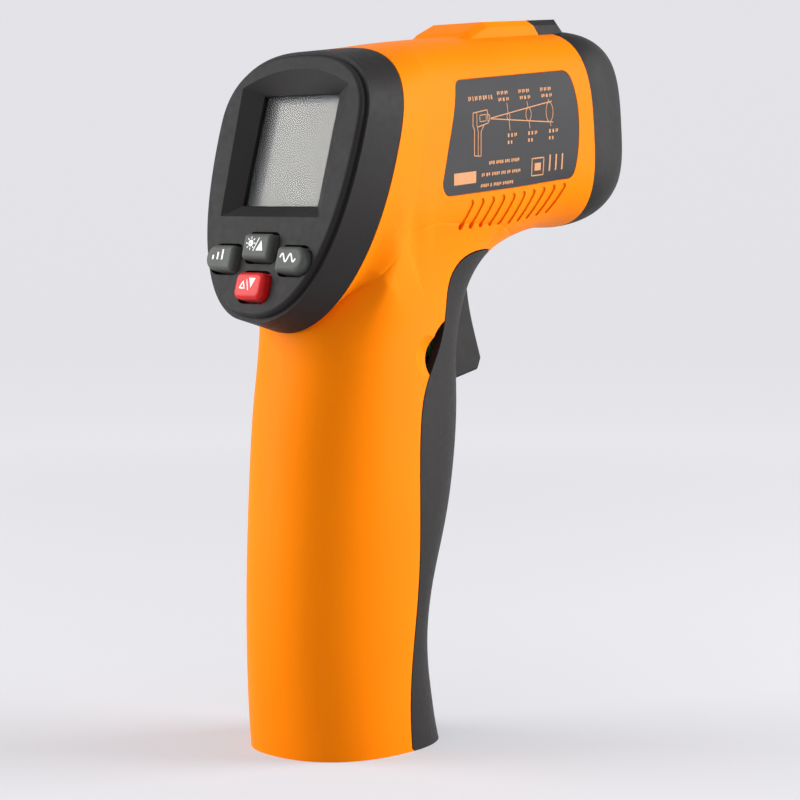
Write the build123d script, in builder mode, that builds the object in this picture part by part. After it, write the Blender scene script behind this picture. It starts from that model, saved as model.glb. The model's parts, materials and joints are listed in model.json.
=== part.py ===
from build123d import *
from math import cos, sin, pi, radians
import os

# Hand-held infrared thermometer, pistol type, standing on the base of its handle.
# Millimetres.  +Z is up, +Y is the way the nose points, and X = 0 is the plane of
# symmetry.  The origin is the middle of the flat base of the handle.

# ---------------------------------------------------------------- driving dimensions
WALL = 2.0                  # thickness of the moulded walls
SEAM_GAP = 0.3              # dark line left between two mouldings
FIT = 0.05                  # radial clearance of a running fit
BARREL_TILT = 5.1           # the barrel climbs towards the nose, degrees
AXIS_HEIGHT = 121.8         # height of the barrel's axis above the base at Y = 0
FACE_TILT = 15.6            # the display face leans back, degrees
FACE_Y, FACE_Z = -18.1, 113.0           # origin of the face's own frame
RIM_DEPTH = 1.4             # the face plate stands this far proud of the bezel's band
BAND_DEPTH = 10.1           # the bezel's band ends this far behind the face
NOSE_START = 58.9           # along the barrel: where the nose cap begins
NOSE_END = 71.6             # along the barrel: front of the nose cap
NOSE_FLOOR = 2.6            # thickness of the nose cap's front wall
LIP = 2.4                   # tongue of the bezel and the nose cap inside the housing

LENS_DROP = -2.0            # the lens sits this far below the barrel's axis
LASER_RISE = 11.3           # and the laser this far above it
TUBE_RADIUS = 9.0
LENS_RADIUS = 8.4
LASER_RADIUS = 3.0
SENSOR_ALONG = 34.0         # along the barrel: back of the sensor can
TUBE_ALONG = 38.0           # along the barrel: back and front of the optics tube
LENS_ALONG = 62.0

GLASS_DEPTH = 2.9           # depths behind the face of what is stacked in the head
LCD_DEPTH = 5.0
LIGHT_DEPTH = 7.3
BOARD_DEPTH = 12.0
BOARD_THICK = 1.6
WINDOW_WIDE, WINDOW_LOW, WINDOW_HIGH = 22.0, -1.5, 21.5

KEY_TRAVEL = 1.0
KEY_PROUD = 1.9             # the key tops stand this far out of the face
KEY_GAP = 0.65              # gap round a key in its hole
TRIGGER_Y, TRIGGER_Z = 26.0, 96.5       # trigger pin
TRIGGER_WIDE = 10.0
SWITCH_Z = 86.5             # the trigger presses its switch at this height
HINGE_Y, HINGE_Z = 16.2, 2.8            # hinge pin of the battery door
PIN_RADIUS = 1.0

BATTERY = (26.5, 17.5, 48.5)            # nine-volt block
BATTERY_BACK, BATTERY_BASE = -8.2, 7.6
SCREWS = ((-9.0, 71.0), (8.5, 96.5), (45.0, 110.6), (12.0, 138.4), (-12.8, 6.4))
SCREW_HEAD_X = -9.0         # the screws go in from the -X side, as deep as this
VENTS = 10

# Sections of the head, from the face to the nose: half width, top, bottom, height of
# the widest place, and the powers of the two curves above and below it.
FACE_SECTION = (21.3, 30.3, -25.5, 14, 2.5, 2.35)
BAND_SECTION = (22.0, 33.8, -25.6, 11, 2.75, 2.15)
NECK_SECTION = (19.9, 23.2, -23.0, 3, 3.0, 3.0)
BARREL_SECTION = (18.9, 21.6, -21.0, 0, 3.0, 3.0)
MUZZLE_SECTION = (18.5, 21.6, -21.2, 0, 3.0, 3.0)
NOSE_SECTION = (17.8, 21.2, -20.3, 0, 3.3, 3.1)
FRONT_SECTION = (15.7, 19.3, -18.1, 0, 3.2, 3.0)

# Sections of the handle: height, half width, back and front of the outline.
HANDLE = (
    (0, 17.0, -18.2, 21.8),
    (8, 17.1, -18.9, 19.3),
    (20, 16.9, -19.6, 17.4),
    (32, 16.8, -19.7, 19.3),
    (45, 16.7, -19.3, 24.3),
    (58, 16.6, -18.5, 27.5),
    (70, 16.5, -17.3, 28.6),
    (80, 16.5, -15.6, 28.5),
    (88, 16.6, -14.4, 29.8),
    (95, 16.8, -12.8, 32.8),
    (101, 17.0, -11.0, 37.6),
    (108, 17.2, -9.0, 48.0),
)

# The seam between the housing and the battery door, seen from the side.
SEAM = (
    (4.2, 0.7), (4.2, 16.0), (6.5, 32.0), (7.1, 48.0), (7.2, 64.0), (9.1, 74.3),
    (14.2, 83.2), (15.9, 90.0), (16.6, 96.2), (19.4, 99.8), (23.8, 101.7), (31.0, 102.4), (42.0, 102.5),
)

os.makedirs("parts", exist_ok=True)
LOW = (Align.CENTER, Align.CENTER, Align.MIN)
HIGH = (Align.CENTER, Align.CENTER, Align.MAX)


def save(piece, name):
    """Name a finished piece and write it as its own STEP file."""
    piece.part.label = name
    export_step(piece.part, f"parts/{name}.step")


# ---------------------------------------------------------------- reference planes
def leaning(y, z, tilt):
    """A plane facing back (-Y) and up by tilt; its own y runs up the object."""
    lean = radians(tilt)
    return Plane(origin=(0, y, z), x_dir=(1, 0, 0), z_dir=(0, -cos(lean), sin(lean)))


def face_plane(depth):
    """A plane parallel to the display face, depth behind it, looking at the user."""
    lean = radians(FACE_TILT)
    return leaning(FACE_Y + depth * cos(lean), FACE_Z - depth * sin(lean), FACE_TILT)


def barrel_plane(along, rise=0.0):
    """A plane square to the barrel, facing forward; its own y runs up."""
    climb = radians(BARREL_TILT)
    y = along * cos(climb) - rise * sin(climb)
    z = AXIS_HEIGHT + along * sin(climb) + rise * cos(climb)
    return Plane(origin=(0, y, z), x_dir=(-1, 0, 0), z_dir=(0, cos(climb), sin(climb)))


# ---------------------------------------------------------------- skins of the body
def oval(plane, half_width, top, bottom, middle, power_top, power_bottom, inset=0.0, steps=28):
    """A rounded outline: one power curve above the widest place and one below it."""
    points = []
    for step in range(steps):
        angle = 2 * pi * step / steps - pi / 2
        across, up = round(cos(angle), 9), round(sin(angle), 9)
        power = power_top if up >= 0 else power_bottom
        reach = (top - middle if up >= 0 else middle - bottom) - inset
        x = (half_width - inset) * abs(across) ** (2 / power) * (1 if across >= 0 else -1)
        y = middle + reach * abs(up) ** (2 / power) * (1 if up >= 0 else -1)
        points.append((x, y))
    with BuildSketch(plane) as outline:
        with BuildLine():
            Spline(points, periodic=True)
        make_face()
    return outline.sketch


def face_block(inset=0.0, front=RIM_DEPTH):
    """The head between the face and the neck, where its sides run straight."""
    face = oval(face_plane(front), *FACE_SECTION, inset)
    band = oval(face_plane(BAND_DEPTH), *BAND_SECTION, inset)
    neck = oval(leaning(3.9, 121.0, 10.3), *NECK_SECTION, inset)
    with BuildPart() as skin:
        loft(sections=[face, band, neck], ruled=True)
    return skin.part


def barrel_skin(inset=0.0, end=NOSE_START):
    """The barrel, from the neck to the muzzle."""
    neck = oval(leaning(3.9, 121.0, 10.3), *NECK_SECTION, inset)
    middle = oval(barrel_plane(18), *BARREL_SECTION, inset)
    muzzle = oval(barrel_plane(end), *MUZZLE_SECTION, inset)
    with BuildPart() as skin:
        loft(sections=[neck, middle, muzzle])
    return skin.part


def nose_skin(inset=0.0, front=NOSE_END):
    """The nose, narrowing to the front."""
    root = oval(barrel_plane(NOSE_START), *MUZZLE_SECTION, inset)
    shoulder = oval(barrel_plane(NOSE_START + 7), *NOSE_SECTION, inset)
    end = oval(barrel_plane(front), *FRONT_SECTION, inset)
    with BuildPart() as skin:
        loft(sections=[root, shoulder, end])
    return skin.part


def handle_skin(inset=0.0):
    """The handle, from the base up into the head."""
    sections = []
    for height, half_width, back, front in HANDLE:
        plane = Plane.XY.offset(height)
        sections.append(oval(plane, half_width, front, back, 1, 2.35, 2.3, inset))
    with BuildPart() as skin:
        loft(sections=sections)
    return skin.part


def body_skin(inset=0.0):
    """Handle, barrel and face block as one closed skin."""
    with BuildPart() as skin:
        add(barrel_skin(inset))
        add(handle_skin(inset))
        add(face_block(inset))
    return skin.part


def door_zone(gap=0.0):
    """Everything in front of the battery door's seam, under the barrel."""
    points = [(y + gap, z - gap * max(0, (z - 83) / 19)) for y, z in SEAM]
    with BuildPart() as zone:
        with BuildSketch(Plane.YZ):
            with BuildLine():
                edge = Spline(points)
                Polyline(edge @ 1, (60, 102.5 - gap), (60, -1.0), (5.9 + gap, -1.0), edge @ 0)
            make_face()
        extrude(amount=30, both=True)
    return zone.part


def sight_rail():
    """The raised rail along the top of the head, with a ramp at each end."""
    with BuildPart() as rail:
        with BuildSketch(Plane.YZ):
            with BuildLine():
                top = Polyline((30.4, 147.2), (35.4, 149.5), (58.4, 151.2))
                back = Polyline((63.2, 146.8), (63.2, 138.0), (25.4, 138.0), (25.4, 143.6))
                Line(top @ 1, back @ 0)
                Line(back @ 1, top @ 0)
            make_face()
        extrude(amount=8.3, both=True)
        upper = rail.faces().filter_by(lambda f: abs(f.normal_at().X) < 0.1 and f.normal_at().Z > 0.3)
        ridges = [e for f in upper for e in f.edges() if abs(abs(e.center().X) - 8.3) < 0.01]
        chamfer(ridges, length=1.2)
    return rail.part


def rail_front():
    """The part of the rail that belongs to the nose cap."""
    with BuildPart() as front:
        add(sight_rail())
        cut = Plane(origin=(0, 49.8, 150.0), x_dir=(1, 0, 0), z_dir=(0, 0.75, 0.66))
        split(bisect_by=cut, keep=Keep.TOP)
    return front.part


outer_skin = body_skin()
hollow_skin = body_skin(WALL)
within_walls = body_skin(0.6)       # keeps ribs and posts inside the outer surface


# ---------------------------------------------------------------- housing halves
def body_hollow():
    """The space inside the housing, above its floor."""
    with BuildPart() as hollow:
        add(hollow_skin)
        split(bisect_by=Plane.XY.offset(WALL + 0.4), keep=Keep.TOP)
    return hollow.part


def label_zone(shrink=0.0):
    """A prism through the head with the outline of the side labels."""
    with BuildPart() as zone:
        with BuildSketch(Plane.YZ) as outline:
            with BuildLine():
                sides = Polyline((52.6, 116.7), (9.6, 112.7), (16.0, 136.4), (51.6, 139.8))
                ThreePointArc(sides @ 1, (53.9, 128.0), sides @ 0)
            make_face()
            fillet(outline.vertices(), radius=2.4)
            offset(amount=-shrink, mode=Mode.REPLACE)
        extrude(amount=30, both=True)
    return zone.part


def vent_slots():
    """Ten slanting slots under the label, through the whole head."""
    with BuildPart() as slots:
        with BuildSketch(Plane.YZ):
            for number in range(VENTS):
                with Locations((18.6 + 3.36 * number, 109.5 + 0.36 * number)):
                    SlotCenterToCenter(5.4, 1.4, rotation=60)
        extrude(amount=30, both=True)
    return slots.part


def screw_posts():
    """Round posts across the housing for the screws, one half's side at a time."""
    with BuildPart() as posts:
        for y, z in SCREWS:
            with Locations((0, y, z)):
                Cylinder(2.9, 40, rotation=(0, 90, 0))
        add(within_walls, mode=Mode.INTERSECT)
    return posts.part


def optics_ribs():
    """Two ribs across the barrel that cradle the optics tube and the laser."""
    with BuildPart() as ribs:
        for along in (40.0, 54.0):
            with Locations(barrel_plane(along)):
                Box(44, 50, 1.6, align=LOW)
        add(barrel_skin(0.6), mode=Mode.INTERSECT)
        with Locations(barrel_plane(30, LENS_DROP)):
            Cylinder(TUBE_RADIUS, 30, align=LOW, mode=Mode.SUBTRACT)
        with Locations(barrel_plane(30, LASER_RISE)):
            Cylinder(LASER_RADIUS, 30, align=LOW, mode=Mode.SUBTRACT)
    return ribs.part


def trigger_bridge():
    """A shelf across the top of the handle with two lugs that hold the trigger pin."""
    with BuildPart() as bridge:
        with Locations((0, 26.5, 104.2)):
            Box(40, 13, 2.0)
        with BuildSketch(Plane.YZ.offset(5.3)) as lug:
            Polygon((22.0, 104.6), (31.5, 104.6), (28.0, 96.5), (24.0, 96.5), align=None)
            with Locations((TRIGGER_Y, TRIGGER_Z)):
                Circle(2.2)
        extrude(amount=2.2)
        mirror(about=Plane.YZ)
        with Locations((0, 26.5, 104.2)):
            Box(10.6, 20, 4, mode=Mode.SUBTRACT)
        add(within_walls, mode=Mode.INTERSECT)
        with Locations((0, TRIGGER_Y, TRIGGER_Z)):
            Cylinder(PIN_RADIUS, 40, rotation=(0, 90, 0), mode=Mode.SUBTRACT)
    return bridge.part


def switch_posts():
    """Two posts that the trigger's switch board is screwed to, tied to the side walls."""
    with BuildPart() as posts:
        for side in (-1, 1):
            with Locations((side * 9.5, 6.5, SWITCH_Z)):
                Cylinder(2.2, 7.4, rotation=(-90, 0, 0), align=LOW)
            with Locations((side * 13.0, 9.5, SWITCH_Z)):
                Box(7, 6, 2)
        add(within_walls, mode=Mode.INTERSECT)
        for side in (-1, 1):
            with Locations((side * 9.5, 8.5, SWITCH_Z)):
                Cylinder(0.8, 8, rotation=(-90, 0, 0), align=LOW, mode=Mode.SUBTRACT)
    return posts.part


def hinge_block():
    """The floor of the housing reaches forward to the door's hinge pin."""
    with BuildPart() as block:
        with BuildSketch(Plane.XY.offset(0.3)):
            Polygon((-13.4, 3), (-13.4, 7.4), (-11, 10.4), (11, 10.4), (13.4, 7.4), (13.4, 3), align=None)
        extrude(amount=2.1)
        with Locations((0, 12, HINGE_Z)):
            Box(7.0, 8.4, 3.0)
        with Locations((0, HINGE_Y, HINGE_Z)):
            Cylinder(1.5, 7.0, rotation=(0, 90, 0))
            Cylinder(PIN_RADIUS, 8.0, rotation=(0, 90, 0), mode=Mode.SUBTRACT)
    return block.part


def housing_shell():
    """The whole orange housing before it is parted into two halves."""
    with BuildPart() as shell:
        add(sight_rail())
        add(rail_front(), mode=Mode.SUBTRACT)
        split(bisect_by=barrel_plane(NOSE_START), keep=Keep.BOTTOM)
        add(outer_skin)
        add(body_hollow(), mode=Mode.SUBTRACT)
        split(bisect_by=face_plane(BAND_DEPTH + SEAM_GAP), keep=Keep.BOTTOM)
        add(door_zone(), mode=Mode.SUBTRACT)
        add(screw_posts())
        add(optics_ribs())
        add(trigger_bridge())
        add(switch_posts())
        add(hinge_block())
    return shell.part


def housing_cuts():
    """What is taken out of the finished shell: recesses, vents and finger scoops."""
    with BuildPart() as cuts:
        add(label_zone())
        add(vent_slots())
        add(barrel_skin(0.3), mode=Mode.SUBTRACT)
    return cuts.part


def finger_scoops():
    """A dished notch beside the door on each side, to pull the door open by."""
    with BuildPart() as scoops:
        for side in (-1, 1):
            with Locations((side * 22.6, 10.6, 80.6)):
                Sphere(7.8)
            with BuildSketch(Plane.YZ.offset(side * 11)):
                with Locations((19.2, 79.0)):
                    Circle(9.2)
            extrude(amount=side * 19)
    return scoops.part


def bezel_rebate():
    """Room inside the housing's rim for the tongue of the bezel."""
    with BuildPart() as rebate:
        add(face_block(WALL / 2))
        split(bisect_by=face_plane(BAND_DEPTH + LIP + 0.2), keep=Keep.TOP)
    return rebate.part


def nose_rebate():
    """Room inside the muzzle for the tongue of the nose cap."""
    with BuildPart() as rebate:
        add(barrel_skin(WALL / 2))
        split(bisect_by=barrel_plane(NOSE_START - LIP - 0.2), keep=Keep.TOP)
    return rebate.part


whole_housing = housing_shell()
cuts = housing_cuts()
scoops = finger_scoops()
rebates = (bezel_rebate(), nose_rebate())

with BuildPart() as housing_right:
    add(whole_housing)
    add(cuts, mode=Mode.SUBTRACT)
    add(scoops, mode=Mode.SUBTRACT)
    add(rebates, mode=Mode.SUBTRACT)
    split(bisect_by=Plane.YZ, keep=Keep.TOP)
    for y, z in SCREWS:
        with Locations((0, y, z)):
            Cylinder(1.2, 8.5, rotation=(0, 90, 0), align=LOW, mode=Mode.SUBTRACT)
save(housing_right, "housing_right")

with BuildPart() as housing_left:
    add(whole_housing)
    add(cuts, mode=Mode.SUBTRACT)
    add(scoops, mode=Mode.SUBTRACT)
    add(rebates, mode=Mode.SUBTRACT)
    split(bisect_by=Plane.YZ, keep=Keep.BOTTOM)
    for y, z in SCREWS:
        with Locations((0, y, z)):
            Cylinder(1.3, 12, rotation=(0, -90, 0), align=LOW, mode=Mode.SUBTRACT)
        with Locations((SCREW_HEAD_X, y, z)):
            Cylinder(2.6, 16, rotation=(0, -90, 0), align=LOW, mode=Mode.SUBTRACT)
save(housing_left, "housing_left")


# ---------------------------------------------------------------- battery door
with BuildPart() as door_inside:
    with Locations((0, 16.5, 0)):
        Box(28, 10, WALL, align=LOW)
    for side in (-1, 1):
        with Locations((side * 6.0, HINGE_Y, HINGE_Z)):
            Cylinder(1.9, 3.8, rotation=(0, 90, 0))
        with Locations((side * 6.0, HINGE_Y + 0.4, HINGE_Z - 1.0)):
            Box(3.8, 3.6, 2.4)
        with Locations((side * 13.5, 8.0, 68.5)):
            Box(1.2, 8.6, 5.0)
    add(handle_skin(0.4), mode=Mode.INTERSECT)

with BuildPart() as battery_door:
    add(outer_skin)
    add(hollow_skin, mode=Mode.SUBTRACT)
    add(door_zone(SEAM_GAP), mode=Mode.INTERSECT)
    add(door_inside)
    with Locations((0, 34.0, 85.2)):
        Box(TRIGGER_WIDE + 0.6, 26, 22.8, mode=Mode.SUBTRACT)
    with Locations((0, 13.3, 0)):
        Box(7.8, 8.8, 12, mode=Mode.SUBTRACT)
    with Locations((0, HINGE_Y, HINGE_Z)):
        Cylinder(PIN_RADIUS + FIT, 16.6, rotation=(0, 90, 0), mode=Mode.SUBTRACT)
save(battery_door, "battery_door")

with BuildPart() as door_pin:
    with Locations((0, HINGE_Y, HINGE_Z)):
        Cylinder(PIN_RADIUS, 16.0, rotation=(0, 90, 0))
    chamfer(door_pin.edges().filter_by(GeomType.CIRCLE), length=0.3)
save(door_pin, "door_pin")

with BuildPart() as battery_pad:
    with Locations((0, 15.2, 30.0)):
        Box(16, 10, 16)
    add(handle_skin(WALL), mode=Mode.INTERSECT)
save(battery_pad, "battery_pad")

# ---------------------------------------------------------------- battery and its cradle
with BuildPart() as battery:
    wide, deep, tall = BATTERY
    middle = BATTERY_BACK + deep / 2
    with Locations((0, middle, BATTERY_BASE)):
        Box(wide, deep, tall, align=LOW)
    fillet(battery.edges().filter_by(Axis.Z), radius=2.0)
    fillet(battery.edges().group_by(Axis.Z)[0] + battery.edges().group_by(Axis.Z)[-1], radius=0.5)
    top = BATTERY_BASE + tall
    with Locations((-6.35, middle, top)):
        Cylinder(2.8, 2.0, align=LOW)
    with Locations((6.35, middle, top)):
        Cylinder(3.6, 2.0, align=LOW)
        Cylinder(2.6, 2.0, align=LOW, mode=Mode.SUBTRACT)
save(battery, "battery")

with BuildPart() as battery_snap:
    with Locations((0, middle, top + 0.2)):
        Box(25.0, 12.4, 4.0, align=LOW)
    fillet(battery_snap.edges().filter_by(Axis.Z), radius=3.0)
    fillet(battery_snap.faces().sort_by(Axis.Z)[-1].edges(), radius=0.8)
    with Locations((-6.35, middle, top + 0.2), (6.35, middle, top + 0.2)):
        Cylinder(4.0, 2.0, align=LOW, mode=Mode.SUBTRACT)
save(battery_snap, "battery_snap")

with BuildPart() as battery_cradle:
    with BuildSketch(Plane.YZ):
        with BuildLine():
            floor = BATTERY_BASE - 0.2
            Polyline((-9.8, floor - 1.6), (9.8, floor - 1.6), (9.8, floor), (-8.5, floor),
                     (-8.5, 62.6), (9.0, 62.6), (9.0, 64.0), (-9.8, 64.0), close=True)
        make_face()
    extrude(amount=13.8, both=True)
    add(handle_skin(WALL + 0.25), mode=Mode.INTERSECT)
    with Locations((0, -1.5, 63)):
        Box(16, 6, 6, mode=Mode.SUBTRACT)
save(battery_cradle, "battery_cradle")

# ---------------------------------------------------------------- trigger group
with BuildPart() as trigger:
    with BuildSketch(Plane.YZ) as side_view:
        with BuildLine():
            front = Spline((33.4, 94.4), (34.8, 87.5), (36.4, 82.6), (37.9, 78.4))
            back = Polyline(front @ 1, (36.9, 75.9), (30.0, 74.3), (24.6, 74.4), (22.4, 76.0),
                            (22.4, 85.2), (21.3, 85.7), (21.3, 87.3), (22.4, 87.8),
                            (23.4, 96.5), (27.0, 99.0), (31.4, 95.8))
            Line(back @ 1, front @ 0)
        make_face()
        with Locations((TRIGGER_Y, TRIGGER_Z)):
            Circle(2.7)
        toe = side_view.vertices().sort_by(Axis.X)[-2:]
        fillet(toe, radius=0.9)
    extrude(amount=TRIGGER_WIDE / 2, both=True)
    outside = trigger.edges().filter_by(lambda e: e.center().Y > 31 and abs(e.center().X) > 4.9)
    fillet(outside, radius=0.7)
    with Locations((0, TRIGGER_Y, TRIGGER_Z)):
        Cylinder(PIN_RADIUS + FIT, 20, rotation=(0, 90, 0), mode=Mode.SUBTRACT)
    with Locations((TRIGGER_WIDE / 2, TRIGGER_Y, TRIGGER_Z)):
        Cylinder(3.4, 6, rotation=(0, 90, 0), mode=Mode.SUBTRACT)
save(trigger, "trigger")

with BuildPart() as trigger_pin:
    with Locations((0, TRIGGER_Y, TRIGGER_Z)):
        Cylinder(PIN_RADIUS, 15.4, rotation=(0, 90, 0))
    chamfer(trigger_pin.edges().filter_by(GeomType.CIRCLE), length=0.3)
save(trigger_pin, "trigger_pin")

with BuildPart() as trigger_spring:
    with BuildLine():
        coil = Helix(0.62, 2.17, 1.9, center=(2.5, TRIGGER_Y, TRIGGER_Z), direction=(1, 0, 0))
    with BuildSketch(Plane(origin=coil @ 0, z_dir=coil % 0)):
        Circle(0.24)
    sweep(path=coil, is_frenet=True)
save(trigger_spring, "trigger_spring")

with BuildPart() as trigger_switch:
    with Locations((0, 17.2, SWITCH_Z)):
        Box(6.0, 3.4, 6.0)
    fillet(trigger_switch.edges().filter_by(Axis.Y), radius=0.5)
    with Locations((0, 16.2, SWITCH_Z)):
        Cylinder(1.7, 4, rotation=(-90, 0, 0), align=LOW, mode=Mode.SUBTRACT)
save(trigger_switch, "trigger_switch")

with BuildPart() as switch_plunger:
    with Locations((0, 17.2, SWITCH_Z)):
        Cylinder(1.6, 4.0, rotation=(-90, 0, 0), align=LOW)
    fillet(switch_plunger.faces().sort_by(Axis.Y)[-1].edges(), radius=0.3)
save(switch_plunger, "switch_plunger")

with BuildPart() as switch_board:
    with Locations((0, 14.7, SWITCH_Z)):
        Box(24.0, 1.6, 13.0)
    fillet(switch_board.edges().filter_by(Axis.Y), radius=1.0)
    with Locations((-9.5, 14.7, SWITCH_Z), (9.5, 14.7, SWITCH_Z)):
        Cylinder(0.9, 4, rotation=(90, 0, 0), mode=Mode.SUBTRACT)
save(switch_board, "switch_board")

with BuildPart() as switch_screws:
    for side in (-1, 1):
        with Locations((side * 9.5, 9.2, SWITCH_Z)):
            Cylinder(0.8, 6.3, rotation=(-90, 0, 0), align=LOW)
        with Locations((side * 9.5, 15.5, SWITCH_Z)):
            Cylinder(1.6, 1.1, rotation=(-90, 0, 0), align=LOW)
        with Locations((side * 9.5, 16.2, SWITCH_Z)):
            Box(1.9, 1.0, 0.4, mode=Mode.SUBTRACT)
            Box(0.4, 1.0, 1.9, mode=Mode.SUBTRACT)
save(switch_screws, "switch_screws")


# ---------------------------------------------------------------- bezel, window and keys
def key_outline(kind, spare=0.0):
    """The outline of one key hole in the face; spare shrinks it to the key's own size."""
    with BuildSketch() as outline:
        if kind == "up":
            with Locations((0, -10.7)):
                RectangleRounded(9.4, 6.6, 1.6)
        elif kind == "down":
            with Locations((0, -18.7)):
                RectangleRounded(9.4, 6.8, 2.2)
        else:
            side = -1 if kind == "set" else 1
            with Locations((side * 9.1, -13.15)):
                RectangleRounded(7.0, 6.5, 1.5)
            with Locations((side * 11.75, -13.15)):
                Circle(3.25)
        offset(amount=-spare, mode=Mode.REPLACE)
    return outline.sketch


def face_depth(point):
    """How far a point lies behind the display face."""
    return -face_plane(0).to_local_coords(point).Z


def face_slab(outline, near, far):
    """A sketch drawn on the face, made into a slab between two depths."""
    with BuildPart() as slab:
        with BuildSketch(face_plane(far)):
            add(outline)
        extrude(amount=far - near)
    return slab.part


def window_outline(wide_low, wide_high, low, high, arch):
    """The display opening: straight sides and a slightly arched top."""
    with BuildSketch() as outline:
        with BuildLine():
            foot = Polyline((-wide_high, high), (-wide_low, low), (wide_low, low), (wide_high, high))
            ThreePointArc(foot @ 1, (0, high + arch), foot @ 0)
        make_face()
    return outline.sketch


KEYS = {"key_set": "set", "key_up": "up", "key_mode": "mode", "key_down": "down"}
KEY_CENTRES = {"set": (-10.2, -13.15), "up": (0, -10.7), "mode": (10.2, -13.15), "down": (0, -18.7)}
BOSSES = ((-8.5, 27.3), (8.5, 27.3), (-12.8, -7.0), (12.8, -7.0))

with BuildPart() as face_plate:
    add(face_slab(oval(Plane.XY, *FACE_SECTION, 0.9), 0, 2.4))
    fillet(face_plate.edges().filter_by(lambda e: face_depth(e.center()) < 0.1), radius=0.8)

with BuildPart() as bezel_tongue:
    add(face_block(1.1))
    add(face_block(WALL), mode=Mode.SUBTRACT)
    split(bisect_by=face_plane(BAND_DEPTH + LIP), keep=Keep.TOP)
    split(bisect_by=face_plane(BAND_DEPTH - 1), keep=Keep.BOTTOM)

with BuildPart() as bezel_backing:
    add(face_slab(oval(Plane.XY, *FACE_SECTION, 0.6), RIM_DEPTH, 2.4))
    add(face_slab(window_outline(16.6, 16.6, -6.2, 26.4, 0.8), 2.2, 4.4))
    add(face_slab(window_outline(15.5, 15.5, -6.2, 26.2, 0.4), 4.2, LCD_DEPTH + 2.2))
    add(face_slab(window_outline(14.3, 14.3, -5.2, 25.1, 0.2), 4.4, 12), mode=Mode.SUBTRACT)
    add(face_slab(window_outline(12.2, 12.2, -2.7, 22.7, 0.05), GLASS_DEPTH, 12), mode=Mode.SUBTRACT)
    with Locations(face_plane(BOARD_DEPTH)):
        with Locations(*BOSSES):
            Cylinder(1.9, BOARD_DEPTH - 2.2, align=LOW)
    add(outer_skin, mode=Mode.INTERSECT)

with BuildPart() as window_funnel:
    with BuildSketch(face_plane(-0.01)):
        add(window_outline(14.4, 15.5, -4.3, 22.6, 3.7))
    with BuildSketch(face_plane(2.3)):
        add(window_outline(11.0, 11.0, WINDOW_LOW, WINDOW_HIGH, 0.05))
    loft()
    add(face_slab(window_outline(11.0, 11.0, WINDOW_LOW, WINDOW_HIGH, 0.05), 2.3, 3.2))

with BuildPart() as display_bezel:
    add(face_block())
    split(bisect_by=face_plane(BAND_DEPTH), keep=Keep.TOP)
    add(face_block(WALL), mode=Mode.SUBTRACT)
    add(bezel_tongue.part)
    add(bezel_backing.part)
    add(face_plate.part)
    add(window_funnel.part, mode=Mode.SUBTRACT)
    for kind in KEYS.values():
        add(face_slab(key_outline(kind), -0.5, 2.6), mode=Mode.SUBTRACT)
    with Locations(face_plane(BOARD_DEPTH + 1)):
        with Locations(*BOSSES):
            Cylinder(0.8, 8, align=LOW, mode=Mode.SUBTRACT)
save(display_bezel, "display_bezel")

# ---------------------------------------------------------------- display and keys
with BuildPart() as display_window:
    add(face_slab(window_outline(12.1, 12.1, -2.6, 22.6, 0.03), GLASS_DEPTH, GLASS_DEPTH + 1.0))
save(display_window, "display_window")

with BuildPart() as lcd_panel:
    add(face_slab(window_outline(14.1, 14.1, -2.2, 24.8, 0.03), LCD_DEPTH, LCD_DEPTH + 1.1))
    add(face_slab(window_outline(14.1, 14.1, -5.0, 24.8, 0.03), LCD_DEPTH + 1.1, LCD_DEPTH + 2.2))
save(lcd_panel, "lcd_panel")

with BuildPart() as backlight:
    add(face_slab(window_outline(13.9, 13.9, -2.0, 24.6, 0.03), LIGHT_DEPTH, LIGHT_DEPTH + 3.0))
    with Locations(face_plane(BOARD_DEPTH)):
        with Locations((-12.6, 0), (12.6, 0), (-12.6, 22), (12.6, 22)):
            Box(1.6, 1.6, 2.4, align=LOW)
save(backlight, "backlight")

with BuildPart() as lcd_connector:
    add(face_slab(window_outline(13.0, 13.0, -4.6, -2.4, 0.02), LIGHT_DEPTH, BOARD_DEPTH))
save(lcd_connector, "lcd_connector")

with BuildPart() as keypad_mat:
    with BuildSketch(face_plane(BOARD_DEPTH)) as mat_outline:
        with Locations((0, -12.6)):
            RectangleRounded(26.4, 14.4, 3.0)
        with Locations(*KEY_CENTRES.values()):
            Circle(2.5, mode=Mode.SUBTRACT)
        with Locations(*BOSSES):
            Circle(2.2, mode=Mode.SUBTRACT)
    extrude(amount=1.0)
    add(face_block(WALL + 0.4), mode=Mode.INTERSECT)
save(keypad_mat, "keypad_mat")

for name, kind in KEYS.items():
    with BuildPart() as flange:
        add(face_slab(key_outline(kind, -0.25), 2.6, 3.5))
        add(face_block(WALL + 1.0), mode=Mode.INTERSECT)
    with BuildPart() as key:
        add(face_slab(key_outline(kind, KEY_GAP), -KEY_PROUD, 2.6))
        crown = key.edges().filter_by(lambda e: face_depth(e.center()) < 0.01 - KEY_PROUD)
        fillet(crown, radius=1.0)
        add(flange.part)
        with Locations(face_plane(BOARD_DEPTH - KEY_TRAVEL - 0.05)):
            with Locations(KEY_CENTRES[kind]):
                Cylinder(1.9, 7.6, align=LOW)
    save(key, name)

# ---------------------------------------------------------------- main board
with BuildPart() as main_board:
    add(face_slab(oval(Plane.XY, 17.6, 30.2, -20.4, 11, 2.75, 2.3), BOARD_DEPTH, BOARD_DEPTH + BOARD_THICK))
    add(body_skin(WALL + 0.5), mode=Mode.INTERSECT)
    with Locations(face_plane(BOARD_DEPTH + 3)):
        with Locations(*BOSSES):
            Cylinder(0.95, 6, align=LOW, mode=Mode.SUBTRACT)
save(main_board, "main_board")

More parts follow.
